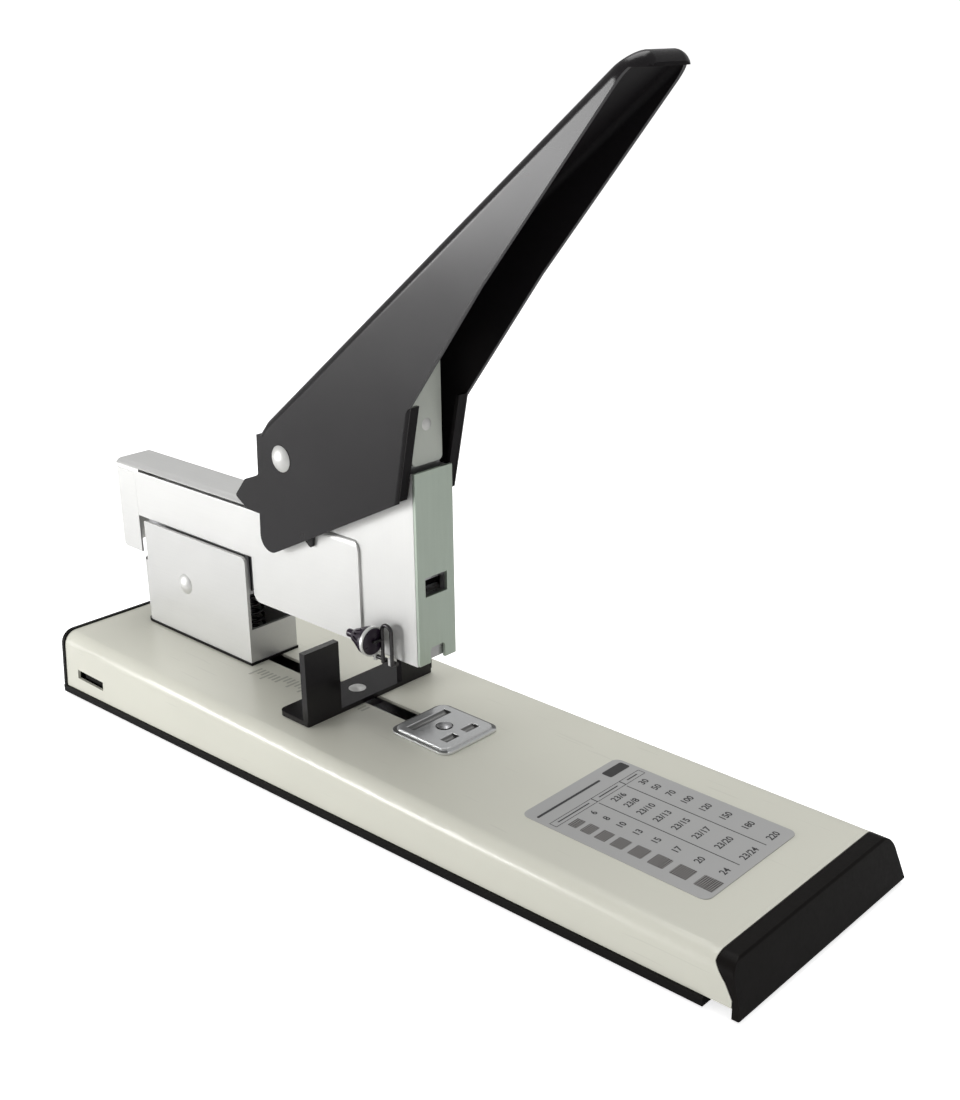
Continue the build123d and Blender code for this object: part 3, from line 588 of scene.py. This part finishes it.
# ---- pieces ----------------------------------------------------------------------------------------
class STAPLER_OT_base(bpy.types.Operator):
    """Painted cover, tray, end cap and clips of the base"""
    bl_idname = "stapler.base"
    bl_label = "Base"

    def execute(self, context):
        sizes = context.scene.stapler_sizes
        soften("base_shell", sizes.edge * 1.6, FINISH["ivory"])
        soften("bottom_tray", sizes.moulded_edge * 0.7, FINISH["plastic"])
        soften("front_end_cap", sizes.moulded_edge, FINISH["cap"])
        soften("side_clips", sizes.edge, FINISH["plastic"])
        soften("rubber_feet", sizes.edge, FINISH["rubber"])
        return {"FINISHED"}


class STAPLER_OT_size_table(bpy.types.Operator):
    """Sticker with the printed table of staple sizes"""
    bl_idname = "stapler.size_table"
    bl_label = "Size table"

    def execute(self, context):
        ink = context.scene.stapler_sizes.ink
        top = LABEL_TOP
        soften("size_label", 0.00006, FINISH["sticker"], segments=1)
        clear_selection()
        marks = [printed_patch(64.0, 67.6, 11.0, 20.0, top, ink, 0.6),
                 printed_patch(65.8, 66.6, -19.6, 7.6, top, ink, 0.3)]
        for y0, y1 in ((-19.8, -2.0), (-2.0, 10.8), (10.8, 19.8)):
            marks.append(printed_patch(70.6, 73.2, y0, y1, top, ink, 0.0, 0.16))
            marks.append(printed_patch(71.65, 72.05, y0 + 2.2, y1 - 2.2, top, ink))
        for y in (-2.3, 10.3):
            marks.append(printed_patch(73.8, 119.8, y - 0.13, y + 0.13, top, ink))
        sizes = [(6, 30), (8, 50), (10, 70), (13, 100), (15, 120), (17, 150), (20, 180), (24, 220)]
        patches = []
        u = 76.0
        for step, (leg, sheets) in enumerate(sizes):
            half_u = 1.45 + 0.20 * step
            half_y = 2.25 + 0.07 * step
            patches.append(printed_patch(u - half_u, u + half_u, -14.6 - half_y, -14.6 + half_y, top, ink,
                                         0.3))
            marks.append(printed_number(str(leg), u, -7.2, top, 3.0, ink))
            marks.append(printed_number(f"23/{leg}", u, 3.9, top, 3.0, ink))
            marks.append(printed_number(str(sheets), u, 15.4, top, 3.0, ink))
            u += 4.45 + 0.55 * step
        table = join(marks, "table_print")
        settle(table, DECK)
        place_piece(table, "base", "label", FINISH["ink"])
        patch = join(patches, "table_patches")
        settle(patch, DECK)
        place_piece(patch, "base", "label", FINISH["hatch"])
        return {"FINISHED"}


class STAPLER_OT_deck_marks(bpy.types.Operator):
    """Printed depth scale beside the guide's slot"""
    bl_idname = "stapler.deck_marks"
    bl_label = "Depth scale"

    def execute(self, context):
        ink = context.scene.stapler_sizes.ink
        clear_selection()
        marks = []
        for step in range(13):
            u = -66.0 + 1.9 * step
            far = -9.2 if step < 6 else -7.4
            near = far - (5.6 if step % 3 == 0 else 3.6)
            marks.append(printed_patch(u - 0.42, u + 0.42, near, far, 0.01, ink))
        for step in range(4):
            u = -22.6 + 1.7 * step
            marks.append(printed_patch(u - 0.42, u + 0.42, -8.2, -4.6, 0.01, ink))
        scale = join(marks, "depth_scale")
        settle(scale, DECK)
        place_piece(scale, "base", "ivory_paint", FINISH["mark_ink"])
        return {"FINISHED"}


class STAPLER_OT_bracket(bpy.types.Operator):
    """Plated bracket, its nickel darkened as painted shade, with its pad, pin and screws"""
    bl_idname = "stapler.bracket"
    bl_label = "Bracket"

    def execute(self, context):
        edge = context.scene.stapler_sizes.edge
        # The bracket takes the darkened nickel: painted shade
        soften("rear_bracket", edge, FINISH["bracket"])
        soften("bracket_pad", edge, FINISH["plastic"])
        soften("head_pivot_pin", edge * 0.5, FINISH["rivet"])
        soften("bracket_screws", edge * 0.5, FINISH["steel"])
        return {"FINISHED"}


class STAPLER_OT_anvil(bpy.types.Operator):
    """Chromed turning anvil and its rivet"""
    bl_idname = "stapler.anvil"
    bl_label = "Anvil"

    def execute(self, context):
        edge = context.scene.stapler_sizes.edge
        plate = soften("anvil_plate", edge * 0.8, FINISH["chrome"])

        def in_groove(face):
            spot = DECK.inverted() @ face.center / MM
            return 0.3 < spot.z < 1.45 and abs(spot.x - ANVIL_U) < 9.0 and abs(spot.y) < 9.0

        # The faces in the grooves take the darker chrome
        second_finish(plate, FINISH["groove"], in_groove)
        soften("anvil_rivet", edge * 0.4, FINISH["steel"])
        return {"FINISHED"}


class STAPLER_OT_guide(bpy.types.Operator):
    """Sliding paper guide"""
    bl_idname = "stapler.guide"
    bl_label = "Paper guide"

    def execute(self, context):
        edge = context.scene.stapler_sizes.edge
        soften("depth_guide", edge * 1.2, FINISH["black"])
        soften("guide_rivet", edge * 0.5, FINISH["rivet"])
        return {"FINISHED"}


class STAPLER_OT_head(bpy.types.Operator):
    """Plated magazine head with its rear cap and upright driver housing"""
    bl_idname = "stapler.head"
    bl_label = "Head"

    def execute(self, context):
        edge = context.scene.stapler_sizes.edge
        soften("head_housing", edge, FINISH["nickel"])
        soften("rear_cap", edge, FINISH["nickel"])
        soften("front_housing", edge, FINISH["nickel_up"])
        soften("front_plate", edge, FINISH["front"])
        soften("staple_guide", edge * 0.6, FINISH["steel"])
        soften("pivot_ears", edge, FINISH["black"])
        soften("ear_rivets", edge * 0.5, FINISH["dark_steel"])
        soften("handle_pin", edge * 0.5, FINISH["rivet"])
        return {"FINISHED"}


class STAPLER_OT_hammer(bpy.types.Operator):
    """Driver cover plate seen between the lever's flanges"""
    bl_idname = "stapler.hammer"
    bl_label = "Hammer"

    def execute(self, context):
        edge = context.scene.stapler_sizes.edge
        soften("hammer_cover", edge, FINISH["grey"])
        soften("hammer_rivet", edge * 0.4, FINISH["rivet"])
        return {"FINISHED"}


class STAPLER_OT_lever(bpy.types.Operator):
    """Black pressed-steel lever; the faces inside its channel get a darker black as painted shade"""
    bl_idname = "stapler.lever"
    bl_label = "Lever"

    def execute(self, context):
        edge = context.scene.stapler_sizes.edge
        lever = soften("handle_channel", edge * 1.2, FINISH["black"])

        def inside(face):
            return abs(face.center.y) < LEVER_INSIDE * MM and face.normal.z < 0.1

        # The inside faces take the darker black: painted shade
        second_finish(lever, FINISH["thin_black"], inside)
        return {"FINISHED"}


class STAPLER_OT_latch(bpy.types.Operator):
    """Wire latch with its ribbed grip"""
    bl_idname = "stapler.latch"
    bl_label = "Latch"

    def execute(self, context):
        clear_selection()
        bpy.ops.mesh.primitive_circle_add(vertices=32, radius=1.1 * MM, fill_type="NGON")
        grip = bpy.context.object
        grip.name = grip.data.name = "latch_grip"
        edit(grip)
        bpy.ops.mesh.select_all(action="SELECT")
        rings = [(0.0, 1.1), (0.3, 1.3), (2.4, 1.35), (3.4, 2.2), (4.6, 2.6), (8.4, 4.4), (9.7, 4.6),
                 (10.8, 4.3), (10.95, 4.1)]
        for (z0, r0), (z1, r1) in zip(rings, rings[1:]):
            bpy.ops.mesh.extrude_region_move(TRANSFORM_OT_translate={"value": (0, 0, (z1 - z0) * MM)})
            bpy.ops.transform.resize(value=(r1 / r0, r1 / r0, 1), center_override=(0, 0, z1 * MM))

        def in_flute(centre, normal):
            turn = math.atan2(centre.y, centre.x) / math.tau * 32
            return 5.0 * MM < centre.z < 8.0 * MM and math.floor(turn) % 2 == 0

        pick_faces(grip, in_flute)
        bpy.ops.mesh.inset(thickness=0.00008, depth=-0.00055, use_individual=True)
        close_up(grip, 25)
        along = Matrix.Rotation(math.radians(90), 4, "Y")
        place = DECK @ Matrix.Translation(GRIP_PLACE * MM) @ along
        settle(grip, place)
        place_piece(grip, BODY["latch_knob"], SLOT["latch_knob"], FINISH["grip"], "latch_knob")
        clear_selection()
        bpy.ops.mesh.primitive_cylinder_add(vertices=48, radius=4.7 * MM, depth=1.1 * MM,
                                            location=(0, 0, 10.3 * MM))
        washer = bpy.context.object
        washer.name = washer.data.name = "latch_washer"
        bpy.ops.object.transform_apply(location=True, rotation=True, scale=True)
        edit(washer, "EDGE")
        bpy.ops.mesh.edges_select_sharp(sharpness=math.radians(60))
        bpy.ops.mesh.bevel(offset=0.15 * MM, segments=2, affect="EDGES")
        close_up(washer, 25)
        settle(washer, place)
        place_piece(washer, BODY["latch_knob"], SLOT["latch_wire"], FINISH["nickel_up"])
        # The latch wire's dark colour stands in for the dark reflection on it: painted reflection
        dress("latch_wire", FINISH["dark_steel"])
        return {"FINISHED"}


class STAPLER_OT_inner_works(bpy.types.Operator):
    """Finishes of the pieces inside the head, the lever and the base"""
    bl_idname = "stapler.inner_works"
    bl_label = "Inner works"

    def execute(self, context):
        for node, finish in (("shell_posts", "steel"), ("tray_screws", "steel"), ("inner_channel", "steel"),
                             ("anvil_block", "steel"), ("bracket_nuts", "steel"),
                             ("guide_shoe", "steel"), ("pivot_frame", "steel"), ("pivot_bush", "rivet"),
                             ("magazine_rail", "steel"), ("pusher_rod", "steel"), ("pusher_spring", "steel"),
                             ("handle_spring", "dark_steel"), ("hammer_block", "steel"),
                             ("driver_blade", "steel"), ("press_arm", "dark_steel"), ("press_pin", "rivet"),
                             ("pusher", "plastic")):
            dress(node, FINISH[finish])
        node = "return_spring"
        spring = bpy.data.objects.new(node + "_finished", frame["nodes"][node].data.copy())
        bpy.context.scene.collection.objects.link(spring)
        take(spring)
        bpy.ops.mesh.customdata_custom_splitnormals_clear()
        close_up(spring)
        place_piece(spring, BODY[node], SLOT[node], FINISH["dark_steel"], node)
        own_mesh(spring)
        return {"FINISHED"}


# ---- stage -------------------------------------------------------------------------------------------
def area_light(name, power, size, place, target, tone=(1, 1, 1)):
    """Soft area light that looks at a target and isn't seen itself."""
    light = bpy.data.lights.new(name, "AREA")
    light.shape = "RECTANGLE"
    light.size, light.size_y = size
    light.energy = power
    light.color = tone
    lamp = bpy.data.objects.new(name, light)
    bpy.context.scene.collection.objects.link(lamp)
    lamp.location = place
    lamp.rotation_euler = (Vector(target) - Vector(place)).to_track_quat("-Z", "Y").to_euler()
    lamp.visible_camera = False
    return lamp


def sweep_floor(reach, height, bend):
    """Floor that curves up into a back wall behind the object, as one sheet."""
    bpy.ops.mesh.primitive_plane_add(size=2 * reach, location=(0, 0, 0))
    floor = bpy.context.object
    floor.name = "floor"
    for x, y in ((0, 1), (-1, 0)):
        edit(floor, "EDGE")
        bpy.ops.object.mode_set(mode="OBJECT")
        for edge in floor.data.edges:
            ends = [floor.data.vertices[index].co for index in edge.vertices]
            middle = (ends[0] + ends[1]) / 2
            edge.select = middle.z < 0.01 and middle.x * x + middle.y * y > reach - 0.01
        bpy.ops.object.mode_set(mode="EDIT")
        bpy.ops.mesh.extrude_region_move(TRANSFORM_OT_translate={"value": (0, 0, height)})
        bpy.ops.object.mode_set(mode="OBJECT")
    edit(floor, "EDGE")
    bpy.ops.mesh.edges_select_sharp(sharpness=math.radians(60))
    bpy.ops.mesh.bevel(offset=bend, segments=12, profile=0.5, affect="EDGES")
    bpy.ops.object.mode_set(mode="OBJECT")
    bpy.ops.object.shade_smooth_by_angle(angle=math.radians(60))
    return floor


class STAPLER_OT_stage(bpy.types.Operator):
    """Pale floor, white surround, soft lights and the camera"""
    bl_idname = "stapler.stage"
    bl_label = "Stage"

    def execute(self, context):
        studio = context.scene.stapler_studio
        clear_selection()
        floor = sweep_floor(5.0, 4.0, 1.2)
        material, tree, shader, place = new_material("Floor paper", (0.86, 0.86, 0.86))
        grain = place_group(tree, "grain", Place=place, Grain_size=300.0, Drift_size=2.0)
        paper = tint(tree, grain["Drift"], (0.85, 0.85, 0.85), (0.87, 0.87, 0.87))
        tree.links.new(paper, shader.inputs["Base Color"])
        shader.inputs["Roughness"].default_value = 0.9
        shader.inputs["Emission Color"].default_value = (1, 1, 1, 1)
        seen = tree.nodes.new("ShaderNodeLightPath").outputs["Is Camera Ray"]
        tree.links.new(ramp(tree, seen, 0, 1, 0.06, 0.75), shader.inputs["Emission Strength"])
        paint_with(floor, material)
        world = bpy.data.worlds.new("White room")
        context.scene.world = world
        world.use_nodes = True
        sky = world.node_tree.nodes["Background"]
        sky.inputs["Color"].default_value = (1, 1, 1, 1)
        room = world.node_tree
        seen = room.nodes.new("ShaderNodeLightPath").outputs["Is Camera Ray"]
        room.links.new(ramp(room, seen, 0, 1, studio.surround, 1.0), sky.inputs["Strength"])
        area_light("Side", studio.key, (0.40, 0.22), (-0.60, -0.72, 0.17), (0.0, 0, 0.09))
        area_light("Top", studio.top, (0.8, 0.8), (-0.2, 0.25, 1.2), (0, 0, 0.05))
        camera = bpy.data.cameras.new("View")
        camera.lens = 46.17
        camera.sensor_width = 36
        camera.shift_x = 0.0078
        camera.shift_y = 0.0005
        camera.clip_start = 0.01
        seen_from = bpy.data.objects.new("View", camera)
        context.scene.collection.objects.link(seen_from)
        back = Vector((0.65879, -0.67658, 0.32900)).normalized()
        level = Vector((0, 0, 1)).cross(back).normalized()
        turn = Matrix.Rotation(math.radians(-2.31), 3, back)
        right = turn @ level
        up = back.cross(right)
        pose = Matrix((right, up, back)).transposed().to_4x4()
        seen_from.matrix_world = Matrix.Translation((0.29213, -0.27324, 0.21303)) @ pose
        context.scene.camera = seen_from
        context.scene.view_settings.view_transform = "Standard"
        return {"FINISHED"}


OPERATORS = (STAPLER_OT_finishes, STAPLER_OT_base, STAPLER_OT_size_table, STAPLER_OT_deck_marks,
             STAPLER_OT_bracket, STAPLER_OT_anvil, STAPLER_OT_guide, STAPLER_OT_head, STAPLER_OT_hammer,
             STAPLER_OT_lever, STAPLER_OT_latch, STAPLER_OT_inner_works, STAPLER_OT_stage)


class STAPLER_PT_panel(bpy.types.Panel):
    """Lists the stapler's pieces in the sidebar"""
    bl_idname = "STAPLER_PT_panel"
    bl_label = "Long reach stapler"
    bl_space_type = "VIEW_3D"
    bl_region_type = "UI"
    bl_category = "Stapler"

    def draw(self, context):
        layout = self.layout
        for group in (context.scene.stapler_paint, context.scene.stapler_sizes, context.scene.stapler_studio):
            box = layout.box()
            for name in group.__annotations__:
                box.prop(group, name)
        for operator in OPERATORS:
            layout.operator(operator.bl_idname)


CLASSES = (StaplerPaint, StaplerSizes, StaplerStudio, *OPERATORS, STAPLER_PT_panel)


def register():
    for item in CLASSES:
        bpy.utils.register_class(item)
    bpy.types.Scene.stapler_paint = bpy.props.PointerProperty(type=StaplerPaint)
    bpy.types.Scene.stapler_sizes = bpy.props.PointerProperty(type=StaplerSizes)
    bpy.types.Scene.stapler_studio = bpy.props.PointerProperty(type=StaplerStudio)


def unregister():
    del bpy.types.Scene.stapler_studio
    del bpy.types.Scene.stapler_sizes
    del bpy.types.Scene.stapler_paint
    for item in reversed(CLASSES):
        bpy.utils.unregister_class(item)


def main():
    register()
    bpy.ops.stapler.finishes()
    bpy.ops.stapler.base()
    bpy.ops.stapler.size_table()
    bpy.ops.stapler.deck_marks()
    bpy.ops.stapler.bracket()
    bpy.ops.stapler.anvil()
    bpy.ops.stapler.guide()
    bpy.ops.stapler.head()
    bpy.ops.stapler.hammer()
    bpy.ops.stapler.lever()
    bpy.ops.stapler.latch()
    bpy.ops.stapler.inner_works()
    bpy.ops.stapler.stage()


if __name__ == "__main__":
    main()
